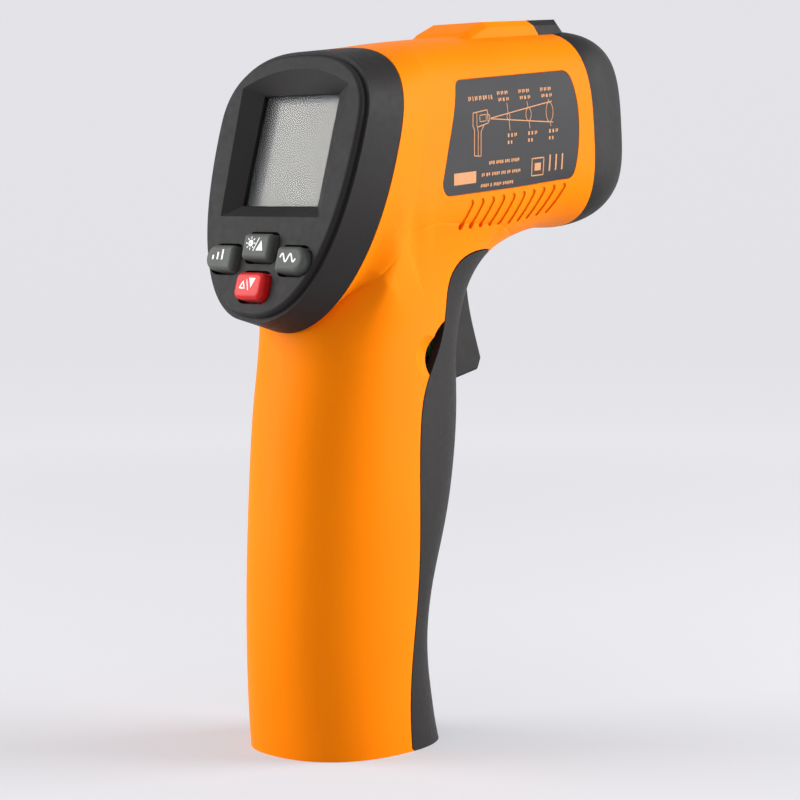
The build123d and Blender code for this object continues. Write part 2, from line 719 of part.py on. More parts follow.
with BuildPart() as board_screws:
    with Locations(face_plane(BOARD_DEPTH + BOARD_THICK)):
        with Locations(*BOSSES):
            Cylinder(0.8, 7.5, align=LOW)
            Cylinder(1.7, 1.2, align=HIGH)
    with Locations(face_plane(BOARD_DEPTH + BOARD_THICK + 1.2)):
        with Locations(*BOSSES):
            Box(2.0, 0.4, 0.8, align=LOW, mode=Mode.SUBTRACT)
            Box(0.4, 2.0, 0.8, align=LOW, mode=Mode.SUBTRACT)
save(board_screws, "board_screws")

with BuildPart() as board_chips:
    with Locations(face_plane(BOARD_DEPTH + BOARD_THICK)):
        with Locations((-7.5, 12.0)):
            Box(10, 10, 1.6, align=HIGH)
        with Locations((-7.5, -2.0)):
            Box(6, 5, 1.5, align=HIGH)
        with Locations((7.5, -4.0)):
            Box(4.5, 9.5, 2.6, align=HIGH)
save(board_chips, "board_chips")

with BuildPart() as buzzer:
    with Locations(face_plane(BOARD_DEPTH + BOARD_THICK)):
        with Locations((7.5, 11.0)):
            Cylinder(6.0, 4.0, align=HIGH)
    with Locations(face_plane(BOARD_DEPTH + BOARD_THICK + 4.0)):
        with Locations((7.5, 11.0)):
            Cylinder(1.0, 1.0, align=LOW, mode=Mode.SUBTRACT)
save(buzzer, "buzzer")

# ---------------------------------------------------------------- nose cap and optics
with BuildPart() as nose_rail:
    add(sight_rail())
    split(bisect_by=barrel_plane(NOSE_START), keep=Keep.TOP)
    add(rail_front())
    add(barrel_skin(), mode=Mode.SUBTRACT)

with BuildPart() as nose_tongue:
    add(barrel_skin(1.1, NOSE_START + 1.0))
    add(barrel_skin(WALL, NOSE_START + 1.0), mode=Mode.SUBTRACT)
    split(bisect_by=barrel_plane(NOSE_START - LIP), keep=Keep.TOP)

with BuildPart() as nose_sleeves:
    with Locations(barrel_plane(61.4, LENS_DROP)):
        Cylinder(11.4, NOSE_END - 62.0, align=LOW)
    with Locations(barrel_plane(63.0, LASER_RISE)):
        Cylinder(4.2, NOSE_END - 63.6, align=LOW)
    add(nose_skin(0.5), mode=Mode.INTERSECT)

with BuildPart() as nose_cap:
    add(nose_rail.part)
    add(nose_skin())
    add(nose_skin(WALL, NOSE_END - NOSE_FLOOR), mode=Mode.SUBTRACT)
    add(nose_tongue.part)
    add(nose_sleeves.part)
    with Locations(barrel_plane(61.0, LENS_DROP)):
        Cylinder(TUBE_RADIUS + FIT, 1.7, align=LOW, mode=Mode.SUBTRACT)
        Cylinder(LENS_RADIUS + FIT, 20, align=LOW, mode=Mode.SUBTRACT)
    with Locations(barrel_plane(NOSE_END + 0.01, LENS_DROP)):
        Cone(LENS_RADIUS + FIT, 11.0, 4.8, align=HIGH, mode=Mode.SUBTRACT)
    with Locations(barrel_plane(61.0, LASER_RISE)):
        Cylinder(LASER_RADIUS + FIT, 7.6, align=LOW, mode=Mode.SUBTRACT)
        Cylinder(2.6, 8.6, align=LOW, mode=Mode.SUBTRACT)
        Cylinder(1.6, 20, align=LOW, mode=Mode.SUBTRACT)
    with Locations(barrel_plane(NOSE_END + 0.01, LASER_RISE)):
        Cone(1.6, 2.8, 1.2, align=HIGH, mode=Mode.SUBTRACT)
save(nose_cap, "nose_cap")

with BuildPart() as ir_lens:
    with Locations(barrel_plane(62.75, LENS_DROP)):
        Cylinder(LENS_RADIUS, 1.4, align=LOW)
    with Locations(barrel_plane(64.15 - 22.0 + 1.6, LENS_DROP)):
        Sphere(22.0)
    with Locations(barrel_plane(62.75, LENS_DROP)):
        Cylinder(LENS_RADIUS, 10, align=LOW, mode=Mode.INTERSECT)
save(ir_lens, "ir_lens")

with BuildPart() as lens_ring:
    with Locations(barrel_plane(64.65, LENS_DROP)):
        Cylinder(LENS_RADIUS, 2.1, align=LOW)
        Cylinder(LENS_RADIUS - 1.1, 2.1, align=LOW, mode=Mode.SUBTRACT)
    chamfer(lens_ring.edges().filter_by(GeomType.CIRCLE).sort_by(Axis.Y)[-2:], length=0.4)
save(lens_ring, "lens_ring")

with BuildPart() as optics_tube:
    with Locations(barrel_plane(33.6, LENS_DROP)):
        Cylinder(6.4, 4.8, align=LOW)
    with Locations(barrel_plane(38.0, LENS_DROP)):
        Cylinder(TUBE_RADIUS, 24.6, align=LOW)
    with Locations(barrel_plane(41.65, LENS_DROP)):
        Cylinder(10.6, 1.6, align=LOW)
    with Locations(barrel_plane(33.0, LENS_DROP)):
        Cylinder(4.7, 10, align=LOW, mode=Mode.SUBTRACT)
    with Locations(barrel_plane(39.4, LENS_DROP)):
        Cylinder(TUBE_RADIUS - 0.9, 30, align=LOW, mode=Mode.SUBTRACT)
save(optics_tube, "optics_tube")

with BuildPart() as ir_sensor:
    with Locations(barrel_plane(33.7, LENS_DROP)):
        Cylinder(4.6, 0.6, align=LOW)
        Cylinder(4.15, 4.4, align=LOW)
    fillet(ir_sensor.edges().filter_by(GeomType.CIRCLE).sort_by(Axis.Y)[-1], radius=0.4)
    with Locations(barrel_plane(30.9, LENS_DROP)):
        with PolarLocations(2.54, 4, start_angle=45):
            Cylinder(0.25, 3.0, align=LOW)
save(ir_sensor, "ir_sensor")

with BuildPart() as sensor_board:
    with Locations(barrel_plane(31.8, LENS_DROP)):
        Box(19, 16, 1.6, align=LOW)
        with PolarLocations(2.54, 4, start_angle=45):
            Cylinder(0.25, 1.6, align=LOW, mode=Mode.SUBTRACT)
save(sensor_board, "sensor_board")

with BuildPart() as laser_module:
    with Locations(barrel_plane(51.0, LASER_RISE)):
        Cylinder(LASER_RADIUS, 16.6, align=LOW)
        Cylinder(2.2, 2.0, align=LOW, mode=Mode.SUBTRACT)
    with Locations(barrel_plane(66.6, LASER_RISE)):
        Cylinder(1.2, 2.0, align=LOW, mode=Mode.SUBTRACT)
save(laser_module, "laser_module")

with BuildPart() as laser_window:
    with Locations(barrel_plane(68.7, LASER_RISE)):
        Cylinder(2.55, 0.9, align=LOW)
save(laser_window, "laser_window")

# ---------------------------------------------------------------- side labels
label_skin = barrel_skin(0.3)
for name, side in (("label_right", Keep.TOP), ("label_left", Keep.BOTTOM)):
    with BuildPart() as label:
        add(barrel_skin(0.06))
        add(label_skin, mode=Mode.SUBTRACT)
        add(label_zone(0.15), mode=Mode.INTERSECT)
        split(bisect_by=Plane.YZ, keep=side)
    save(label, name)

# ---------------------------------------------------------------- screws and leads
with BuildPart() as housing_screws:
    for y, z in SCREWS:
        with Locations((SCREW_HEAD_X, y, z)):
            Cylinder(1.15, 17.0, rotation=(0, 90, 0), align=LOW)
            Cylinder(2.4, 1.7, rotation=(0, -90, 0), align=LOW)
        with Locations((SCREW_HEAD_X - 1.3, y, z)):
            Box(1.0, 2.8, 0.6, mode=Mode.SUBTRACT)
            Box(1.0, 0.6, 2.8, mode=Mode.SUBTRACT)
save(housing_screws, "housing_screws")


def lead(points, radii, radius):
    """A wire of straight runs joined by round bends; prints its volume check."""
    with BuildPart() as wire:
        with BuildLine():
            path = FilletPolyline(*points, radius=radii)
        with BuildSketch(Plane(origin=path @ 0, z_dir=path % 0)):
            Circle(radius)
        sweep(path=path)
    print("lead radii", radii, "volume check", round(wire.part.volume / (pi * radius**2 * path.length), 4))
    return wire.part


def board_point(across, up, off=0.03):
    """A place on the back of the main board, or off it along its normal."""
    return face_plane(BOARD_DEPTH + BOARD_THICK + off).from_local_coords((across, up, 0))


def leads_node(name, routes, radius):
    """One node of leads that follow the same route side by side."""
    with BuildPart() as leads:
        for points, radii in routes:
            add(lead(points, radii, radius))
    save(leads, name)


for name, side in (("battery_lead_red", 1), ("battery_lead_black", -1)):
    route = [(side * 4, 0.5, top + 4.3), (side * 4, 0.5, 68), (side * 3.6, -1.5, 76)]
    route += [(side * 3.6, -2.4, 84), board_point(side * 3.6, -12.0, 5.0), board_point(side * 3.6, -12.0)]
    leads_node(name, [(route, [9, 10, 5, 3.5])], 0.7)

laser_routes = []
switch_routes = []
for side in (-1, 1):
    route = [(side * 1.2, 50.6, 137.6), (side * 1.2, 42, 136.8), (side * 1.2, 26, 134.6)]
    route += [board_point(side * 1.2, 22.0, 8.0), board_point(side * 1.2, 22.0)]
    laser_routes.append((route, [14, 18, 12]))
    route = [(side * 3, 13.88, 90.4), (side * 3, 8.0, 90.4), (side * 3, 2.0, 92.5)]
    route += [board_point(side * 3, -8.5, 6.0), board_point(side * 3, -8.5)]
    switch_routes.append((route, [7, 4, 4]))
leads_node("laser_leads", laser_routes, 0.55)
leads_node("switch_leads", switch_routes, 0.55)

with BuildPart() as sensor_ribbon:
    with BuildSketch(Plane.YZ.offset(-4)) as ribbon_side:
        with BuildLine():
            FilletPolyline((31.2, 120.0), (22.0, 119.4), (10.0, 117.0), tuple(board_point(0, 3.0))[1:],
                           radius=[12, 12])
        trace(line_width=0.5)
    extrude(amount=8)
save(sensor_ribbon, "sensor_ribbon")
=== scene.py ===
"""Looks of a pistol-shaped infrared thermometer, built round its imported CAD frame. Metres, +Z up."""

import json
import math

import bmesh
import bpy
from mathutils import Matrix, Vector
from mathutils.bvhtree import BVHTree
from mathutils.interpolate import poly_3d_calc
from mathutils.kdtree import KDTree

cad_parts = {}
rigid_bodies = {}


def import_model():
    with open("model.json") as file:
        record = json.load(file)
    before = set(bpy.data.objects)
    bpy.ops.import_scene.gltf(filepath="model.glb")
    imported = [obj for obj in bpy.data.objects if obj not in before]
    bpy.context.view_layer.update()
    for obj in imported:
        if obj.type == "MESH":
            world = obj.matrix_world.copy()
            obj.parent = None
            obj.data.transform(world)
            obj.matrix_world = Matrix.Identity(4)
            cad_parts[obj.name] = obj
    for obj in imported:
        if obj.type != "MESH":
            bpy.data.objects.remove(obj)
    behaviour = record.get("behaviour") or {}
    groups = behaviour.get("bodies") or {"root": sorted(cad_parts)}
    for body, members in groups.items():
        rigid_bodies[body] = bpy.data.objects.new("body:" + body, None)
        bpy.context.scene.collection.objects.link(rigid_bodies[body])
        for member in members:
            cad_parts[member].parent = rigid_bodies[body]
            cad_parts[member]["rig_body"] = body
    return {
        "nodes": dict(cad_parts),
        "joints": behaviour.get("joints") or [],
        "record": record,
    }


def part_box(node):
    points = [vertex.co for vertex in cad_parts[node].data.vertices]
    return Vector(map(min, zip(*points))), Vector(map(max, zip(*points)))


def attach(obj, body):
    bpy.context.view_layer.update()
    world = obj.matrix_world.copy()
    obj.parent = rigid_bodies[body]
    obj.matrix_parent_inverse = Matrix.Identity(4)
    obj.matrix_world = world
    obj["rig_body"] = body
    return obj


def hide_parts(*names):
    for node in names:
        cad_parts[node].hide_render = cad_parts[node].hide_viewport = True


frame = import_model()
bpy.context.view_layer.update()

MM = 0.001
NODES = frame["nodes"]
HOUSING = "housing"
SLOT_OF = {part["node"]: part["material_slot"] for part in frame["record"]["subparts"]}

# ---------------------------------------------------------------- directions of the object
AXIS_TILT = math.radians(5.1)
INTO_FACE = next(Vector(j["axis"]) for j in frame["joints"] if j["child"] == "up_key").normalized()
FACE_OUT = -INTO_FACE
FACE_RIGHT = Vector((1, 0, 0))
FACE_UP = FACE_OUT.cross(FACE_RIGHT).normalized()
ALONG = Vector((0, math.cos(AXIS_TILT), math.sin(AXIS_TILT)))

# ---------------------------------------------------------------- camera and studio
AIM = Vector((0, 0.017907, 0.070156))
CAMERA_AZIMUTH = math.radians(44.5)
CAMERA_RISE = math.radians(4.9)
CAMERA_DISTANCE = 0.50526
LENS = 108.0
BACKWARD = Vector((math.sin(CAMERA_AZIMUTH), -math.cos(CAMERA_AZIMUTH), 0))
RIGHTWARD = Vector((math.cos(CAMERA_AZIMUTH), math.sin(CAMERA_AZIMUTH), 0))
BACKDROP = (0.80, 0.80, 0.835)
PAPER_NEAR = (0.42, 0.40)      # share of the backdrop's colour that is lit by lamps, and that glows
PAPER_FAR = (0.14, 0.88)


def add_camera():
    """The photograph's view, from the display side."""
    back = BACKWARD * math.cos(CAMERA_RISE) + Vector((0, 0, math.sin(CAMERA_RISE)))
    data = bpy.data.cameras.new("camera")
    data.lens = LENS
    data.sensor_width = 36
    data.clip_start = 0.01
    data.clip_end = 20
    camera = bpy.data.objects.new("camera", data)
    bpy.context.scene.collection.objects.link(camera)
    camera.location = AIM + back * CAMERA_DISTANCE
    camera.rotation_mode = "QUATERNION"
    camera.rotation_quaternion = (-back).to_track_quat("-Z", "Y")
    bpy.context.scene.camera = camera


def add_softbox(name, right, toward, rise, width, height, power):
    """An area light placed from the aim point, in metres, and turned to it."""
    data = bpy.data.lights.new(name, "AREA")
    data.shape = "RECTANGLE"
    data.size = width
    data.size_y = height
    data.energy = power
    light = bpy.data.objects.new(name, data)
    bpy.context.scene.collection.objects.link(light)
    offset = RIGHTWARD * right + BACKWARD * toward + Vector((0, 0, rise))
    light.location = AIM + offset
    light.rotation_mode = "QUATERNION"
    light.rotation_quaternion = (-offset).to_track_quat("-Z", "Y")
    light.visible_camera = False


def add_world(strength):
    """Even, nearly white light from all round."""
    world = bpy.data.worlds.new("studio")
    world.use_nodes = True
    background = world.node_tree.nodes["Background"]
    background.inputs["Color"].default_value = (*BACKDROP, 1)
    background.inputs["Strength"].default_value = strength
    bpy.context.scene.world = world


def add_backdrop():
    """A pale floor that rises all round in one smooth curve, like a studio bowl."""
    floor_radius, curve_radius, wall_height, around = 1.3, 0.7, 1.6, 96
    profile = [(0.0001, 0), (0.3, 0), (0.7, 0), (floor_radius, 0)]
    for step in range(1, 13):
        turn = math.radians(7.5 * step)
        profile.append((floor_radius + curve_radius * math.sin(turn), curve_radius * (1 - math.cos(turn))))
    profile.append((floor_radius + curve_radius, wall_height))
    mesh = bpy.data.meshes.new("backdrop")
    verts, faces = [], []
    for radius, height in profile:
        for step in range(around):
            turn = 2 * math.pi * step / around
            verts.append((radius * math.cos(turn), radius * math.sin(turn), height))
    for row in range(len(profile) - 1):
        for step in range(around):
            after = (step + 1) % around
            faces.append((row * around + step, row * around + after,
                          (row + 1) * around + after, (row + 1) * around + step))
    mesh.from_pydata(verts, [], faces)
    mesh.shade_smooth()
    backdrop = bpy.data.objects.new("backdrop", mesh)
    bpy.context.scene.collection.objects.link(backdrop)
    backdrop.location = (AIM.x, AIM.y, 0)
    mesh.materials.append(backdrop_material())


def backdrop_material():
    """Even pale paper: mostly self-lit far away, mostly lit by the lamps near the object."""
    material, nodes, links, shader = new_material("backdrop")
    shader.inputs["Roughness"].default_value = 0.9
    shader.inputs["Specular IOR Level"].default_value = 0.0
    place = nodes.new("ShaderNodeTexCoord")
    distance = nodes.new("ShaderNodeVectorMath")
    distance.operation = "LENGTH"
    links.new(place.outputs["Object"], distance.inputs[0])
    far = spread(nodes, links, distance.outputs["Value"], 0, 1, 0.05, 0.6)
    links.new(blend_colours(nodes, links, far, tuple(c * PAPER_NEAR[0] for c in BACKDROP),
                            tuple(c * PAPER_FAR[0] for c in BACKDROP)), shader.inputs["Base Color"])
    links.new(blend_colours(nodes, links, far, tuple(c * PAPER_NEAR[1] for c in BACKDROP),
                            tuple(c * PAPER_FAR[1] for c in BACKDROP)), shader.inputs["Emission Color"])
    shader.inputs["Emission Strength"].default_value = 1.0
    return material


# ---------------------------------------------------------------- material helpers
def new_material(name):
    """A node material with one Principled shader."""
    material = bpy.data.materials.new(name)
    material.use_nodes = True
    nodes, links = material.node_tree.nodes, material.node_tree.links
    return material, nodes, links, nodes["Principled BSDF"]


def noise(nodes, links, scale, detail=2.0, stretch=None):
    """Noise in the object's own space; scale is features per metre, stretch squeezes it per axis."""
    texture = nodes.new("ShaderNodeTexNoise")
    texture.inputs["Scale"].default_value = scale
    texture.inputs["Detail"].default_value = detail
    place = nodes.new("ShaderNodeTexCoord")
    if stretch:
        mapping = nodes.new("ShaderNodeMapping")
        mapping.inputs["Scale"].default_value = stretch
        links.new(place.outputs["Object"], mapping.inputs["Vector"])
        links.new(mapping.outputs["Vector"], texture.inputs["Vector"])
    else:
        links.new(place.outputs["Object"], texture.inputs["Vector"])
    return texture.outputs["Fac"]


def spread(nodes, links, value, low, high, from_low=0.3, from_high=0.7):
    """Maps a noise value to a range."""
    ranged = nodes.new("ShaderNodeMapRange")
    ranged.inputs["From Min"].default_value = from_low
    ranged.inputs["From Max"].default_value = from_high
    ranged.inputs["To Min"].default_value = low
    ranged.inputs["To Max"].default_value = high
    links.new(value, ranged.inputs["Value"])
    return ranged.outputs["Result"]


def blend_colours(nodes, links, factor, first, second):
    """A colour between two, by a factor socket."""
    mix = nodes.new("ShaderNodeMix")
    mix.data_type = "RGBA"
    links.new(factor, mix.inputs["Factor"])
    for socket, colour in ((mix.inputs[6], first), (mix.inputs[7], second)):
        if isinstance(colour, bpy.types.NodeSocket):
            links.new(colour, socket)
        else:
            socket.default_value = (*colour, 1)
    return mix.outputs[2]


def bump(nodes, links, shader, layers):
    """Chains bump layers (value, strength, distance in metres) into the shader's normal."""
    normal = None
    for value, strength, distance in layers:
        node = nodes.new("ShaderNodeBump")
        node.inputs["Strength"].default_value = strength
        node.inputs["Distance"].default_value = distance
        links.new(value, node.inputs["Height"])
        if normal:
            links.new(normal, node.inputs["Normal"])
        normal = node.outputs["Normal"]
    links.new(normal, shader.inputs["Normal"])


# ---------------------------------------------------------------- materials
def moulded_plastic(name, colour, deep, rough, grain=0.35, grain_size=0.28 * MM, specular=0.5, gloss=0.0):
    """Injection-moulded plastic: a fine spark-eroded grain, slow colour drift and faint flow waves."""
    material, nodes, links, shader = new_material(name)
    fine = noise(nodes, links, 1 / grain_size, 3.0)
    middle = noise(nodes, links, 1 / (grain_size * 5), 2.0)
    slow = noise(nodes, links, 28.0, 2.0)
    tint = blend_colours(nodes, links, spread(nodes, links, slow, 0, 1), colour, deep)
    speck = spread(nodes, links, fine, 0, 0.14, 0.4, 0.75)
    links.new(blend_colours(nodes, links, speck, tint, tuple(c * 0.72 for c in colour)),
              shader.inputs["Base Color"])
    links.new(spread(nodes, links, middle, rough - 0.05, rough + 0.06), shader.inputs["Roughness"])
    shader.inputs["Specular IOR Level"].default_value = specular
    shader.inputs["Coat Weight"].default_value = gloss
    shader.inputs["Coat Roughness"].default_value = 0.25
    bump(nodes, links, shader, [(middle, 0.06, 0.05 * MM), (fine, grain, 0.02 * MM)])
    return material


def rubber(name, colour, deep, rough=0.55):
    """Soft-touch silicone: powdery grain and a faint sheen."""
    material, nodes, links, shader = new_material(name)
    fine = noise(nodes, links, 1 / (0.16 * MM), 4.0)
    slow = noise(nodes, links, 160.0, 2.0)
    links.new(blend_colours(nodes, links, spread(nodes, links, slow, 0, 1), colour, deep),
              shader.inputs["Base Color"])
    links.new(spread(nodes, links, fine, rough - 0.06, rough + 0.08), shader.inputs["Roughness"])
    shader.inputs["Sheen Weight"].default_value = 0.04
    shader.inputs["Specular IOR Level"].default_value = 0.2
    shader.inputs["Sheen Roughness"].default_value = 0.4
    bump(nodes, links, shader, [(fine, 0.3, 0.02 * MM)])
    return material


def metal(name, colour, deep, rough=0.3, stretch=(1, 1, 9)):
    """Plated or turned metal: fine drawn lines and small roughness changes."""
    material, nodes, links, shader = new_material(name)
    lines = noise(nodes, links, 1500.0, 3.0, stretch)
    slow = noise(nodes, links, 90.0)
    links.new(blend_colours(nodes, links, spread(nodes, links, slow, 0, 1), colour, deep),
              shader.inputs["Base Color"])
    links.new(spread(nodes, links, lines, rough - 0.08, rough + 0.12), shader.inputs["Roughness"])
    shader.inputs["Metallic"].default_value = 1.0
    bump(nodes, links, shader, [(lines, 0.12, 0.01 * MM)])
    return material


def clear_plastic(name):
    """Clear acrylic that lets lamp light through to what lies behind it."""
    material, nodes, links, shader = new_material(name)
    haze = noise(nodes, links, 350.0, 2.0)
    shader.inputs["Base Color"].default_value = (0.93, 0.95, 0.95, 1)
    links.new(spread(nodes, links, haze, 0.02, 0.06), shader.inputs["Roughness"])
    shader.inputs["IOR"].default_value = 1.1
    shader.inputs["Transmission Weight"].default_value = 1.0
    bump(nodes, links, shader, [(haze, 0.02, 0.05 * MM)])
    through = nodes.new("ShaderNodeBsdfTransparent")
    through.inputs["Color"].default_value = (0.92, 0.93, 0.93, 1)
    path = nodes.new("ShaderNodeLightPath")
    mix = nodes.new("ShaderNodeMixShader")
    links.new(path.outputs["Is Shadow Ray"], mix.inputs["Fac"])
    links.new(shader.outputs["BSDF"], mix.inputs[1])
    links.new(through.outputs["BSDF"], mix.inputs[2])
    links.new(mix.outputs["Shader"], nodes["Material Output"].inputs["Surface"])
    return material


def lcd_glass(name, colour, deep):
    """A blank liquid crystal cell: slow shading and the fine grain of its rear reflector."""
    material, nodes, links, shader = new_material(name)
    slow = noise(nodes, links, 60.0, 1.0, (1, 1, 0.3))
    fine = noise(nodes, links, 1 / (0.12 * MM), 1.0)
    tint = blend_colours(nodes, links, spread(nodes, links, slow, 0, 1), colour, deep)
    links.new(blend_colours(nodes, links, spread(nodes, links, fine, 0, 0.2), tint,
                            tuple(c * 0.75 for c in deep)), shader.inputs["Base Color"])
    links.new(spread(nodes, links, fine, 0.18, 0.3), shader.inputs["Roughness"])
    shader.inputs["Specular IOR Level"].default_value = 0.05
    bump(nodes, links, shader, [(fine, 0.1, 0.01 * MM)])
    return material


def label_film(name):
    """Printed polyester film: a fine canvas grain under dark ink."""
    material, nodes, links, shader = new_material(name)
    fine = noise(nodes, links, 1 / (0.2 * MM), 2.0)
    slow = noise(nodes, links, 40.0)
    links.new(blend_colours(nodes, links, spread(nodes, links, slow, 0, 1), (0.0261, 0.0243, 0.0261),
                            (0.0216, 0.0207, 0.0225)), shader.inputs["Base Color"])
    links.new(spread(nodes, links, fine, 0.42, 0.56), shader.inputs["Roughness"])
    shader.inputs["Specular IOR Level"].default_value = 0.1
    bump(nodes, links, shader, [(fine, 0.25, 0.015 * MM)])
    return material


def circuit_board(name):
    """Green solder mask over copper tracks."""
    material, nodes, links, shader = new_material(name)
    place = nodes.new("ShaderNodeTexCoord")
    tracks = nodes.new("ShaderNodeTexBrick")
    tracks.inputs["Scale"].default_value = 260.0
    tracks.inputs["Mortar Size"].default_value = 0.06
    tracks.inputs["Color1"].default_value = (0.012, 0.11, 0.04, 1)
    tracks.inputs["Color2"].default_value = (0.016, 0.13, 0.05, 1)
    tracks.inputs["Mortar"].default_value = (0.05, 0.26, 0.10, 1)
    links.new(place.outputs["Object"], tracks.inputs["Vector"])
    links.new(tracks.outputs["Color"], shader.inputs["Base Color"])
    fine = noise(nodes, links, 1 / (0.5 * MM))
    links.new(spread(nodes, links, fine, 0.22, 0.38), shader.inputs["Roughness"])
    bump(nodes, links, shader, [(tracks.outputs["Fac"], 0.3, 0.02 * MM)])
    return material


def foam(name):
    """Open-cell foam."""
    material, nodes, links, shader = new_material(name)
    cells = nodes.new("ShaderNodeTexVoronoi")
    cells.inputs["Scale"].default_value = 1400.0
    place = nodes.new("ShaderNodeTexCoord")
    links.new(place.outputs["Object"], cells.inputs["Vector"])
    links.new(blend_colours(nodes, links, cells.outputs["Distance"], (0.05, 0.05, 0.052),
                            (0.012, 0.012, 0.012)), shader.inputs["Base Color"])
    links.new(spread(nodes, links, cells.outputs["Distance"], 0.8, 0.95), shader.inputs["Roughness"])
    bump(nodes, links, shader, [(cells.outputs["Distance"], 0.8, 0.3 * MM)])
    return material


ORANGE = (0.87, 0.208, 0.0008)
ORANGE_DEEP = (0.84, 0.192, 0.0006)
MATERIALS = {
    "orange_plastic": moulded_plastic("orange_plastic", ORANGE, ORANGE_DEEP, 0.45,
                                      grain=0.22, specular=0.03),
    "dark_plastic": moulded_plastic("dark_plastic", (0.0245, 0.0228, 0.0222), (0.0212, 0.0198, 0.0195),
                                    0.5, specular=0.07),
    "key_grey": rubber("key_grey", (0.078, 0.084, 0.075), (0.062, 0.067, 0.060)),
    "key_red": rubber("key_red", (0.62, 0.012, 0.012), (0.48, 0.006, 0.006), 0.4),
    "label_print": label_film("label_print"),
    "clear_plastic": clear_plastic("clear_plastic"),
    "lcd_glass": lcd_glass("lcd_glass", (0.096, 0.097, 0.105), (0.087, 0.088, 0.096)),
    "light_guide": moulded_plastic("light_guide", (0.8, 0.8, 0.77), (0.72, 0.73, 0.7), 0.3),
    "circuit_board": circuit_board("circuit_board"),
    "black_resin": moulded_plastic("black_resin", (0.02, 0.02, 0.021), (0.014, 0.014, 0.015), 0.5),
    "silicone": rubber("silicone", (0.33, 0.34, 0.34), (0.27, 0.28, 0.28)),
    "steel": metal("steel", (0.62, 0.62, 0.63), (0.5, 0.5, 0.52)),
    "brass": metal("brass", (0.80, 0.58, 0.24), (0.62, 0.43, 0.16), 0.28),
    "lens_plastic": moulded_plastic("lens_plastic", (0.07, 0.07, 0.078), (0.05, 0.05, 0.055), 0.16,
                                    grain=0.02, gloss=0.6),
    "battery_shell": metal("battery_shell", (0.20, 0.21, 0.23), (0.13, 0.14, 0.16), 0.35),
    "lead_red": rubber("lead_red", (0.55, 0.02, 0.02), (0.42, 0.012, 0.012)),
    "lead_black": rubber("lead_black", (0.02, 0.02, 0.02), (0.014, 0.014, 0.014)),
    "foam": foam("foam"),
}


def dress_nodes():
    """Every CAD node takes its record slot's material."""
    for name, node in NODES.items():
        material = MATERIALS[SLOT_OF[name]]
        for place in range(len(node.data.materials)):
            node.data.materials[place] = material


# ---------------------------------------------------------------- smooth neck between barrel and handle
BLEND_REACH = 17 * MM          # how far the blend spreads to each side of the crease
BLEND_FINE = 1.3 * MM          # longest mesh edge inside the blend
RIM_FADE = 8 * MM              # the blend grows from nothing over this depth behind the bezel
NECK_FRONT = 46 * MM           # the crease lies behind this
NECK_HEIGHTS = (96 * MM, 109 * MM)         # and between these
NECK_MIDDLE = 18 * MM          # the crease runs round the upright line at this Y
NECK_RADIUS = 15 * MM          # nearer to that line are only edges inside the shell
CREASE_BEND = (math.radians(9), math.radians(80))
CREASE_HEADING = (-0.05, 0.45, -0.2)       # its outward heading: x above, y below and z below these
SHORTEST_EDGE = 0.4 * MM
STEP_IN_HEADING = 0.14         # least change of the skin's upward heading across the crease
SPREAD = 1.6 * MM              # how far the crease's edges are averaged along it
RUN_OUT = 4 * MM               # the samples start this far before the crease's first edge


def welded(node):
    """A working copy of a CAD node's mesh with its shared corners joined."""
    work = bmesh.new()
    work.from_mesh(NODES[node].data)
    bmesh.ops.remove_doubles(work, verts=work.verts, dist=0.001 * MM)
    return work


def crease_edges():
    """Concave edges where the handle's side meets the barrel's underside, back to front: (middle, push)."""
    work = welded("housing_right")
    found = []
    for edge in work.edges:
        middle = (edge.verts[0].co + edge.verts[1].co) / 2
        near = middle.x > 0 and middle.y < NECK_FRONT and NECK_HEIGHTS[0] < middle.z < NECK_HEIGHTS[1]
        if not near or math.hypot(middle.x, middle.y - NECK_MIDDLE) < NECK_RADIUS:
            continue
        if len(edge.link_faces) != 2 or edge.calc_length() < SHORTEST_EDGE:
            continue
        bend = -edge.calc_face_angle_signed(0)
        one, other = (face.normal for face in edge.link_faces)
        outward = (one + other).normalized()
        side, front, rise = CREASE_HEADING
        under = outward.x > side and outward.y < front and outward.z < rise
        if under and CREASE_BEND[0] < bend < CREASE_BEND[1] and abs(one.z - other.z) > STEP_IN_HEADING:
            found.append((middle, outward * 2 * math.sin(bend / 2)))
    work.free()
    return sorted(found, key=lambda item: math.atan2(item[0].x, NECK_MIDDLE - item[0].y))


def crease_line():
    """The crease all round the neck, smoothed: a list of (point, push), right side then left."""
    edges = crease_edges()
    stops = [middle for middle, _ in edges]
    stops.insert(0, stops[0] + (stops[0] - stops[1]).normalized() * RUN_OUT)
    stops.append(Vector((0, stops[-1].y, stops[-1].z)))
    samples = []
    for start, end in zip(stops, stops[1:]):
        parts = max(1, round((end - start).length / MM))
        samples += [start.lerp(end, i / parts) for i in range(parts)]
    line = []
    for point in samples + [stops[-1]]:
        weights = [(math.exp(-(middle - point).length_squared / (2 * SPREAD ** 2)), middle, push)
                   for middle, push in edges]
        total = sum(w for w, _, _ in weights)
        if total > 0.05:
            line.append((sum((m * w for w, m, _ in weights), Vector()) / total,
                         sum((p * w for w, _, p in weights), Vector()) / total))
    front = line[-1]
    line[-1] = (Vector((0, front[0].y, front[0].z)), Vector((0, front[1].y, front[1].z)))
    mirrored = [(Vector((-m.x, m.y, m.z)), Vector((-p.x, p.y, p.z))) for m, p in reversed(line[:-1])]
    return line + mirrored


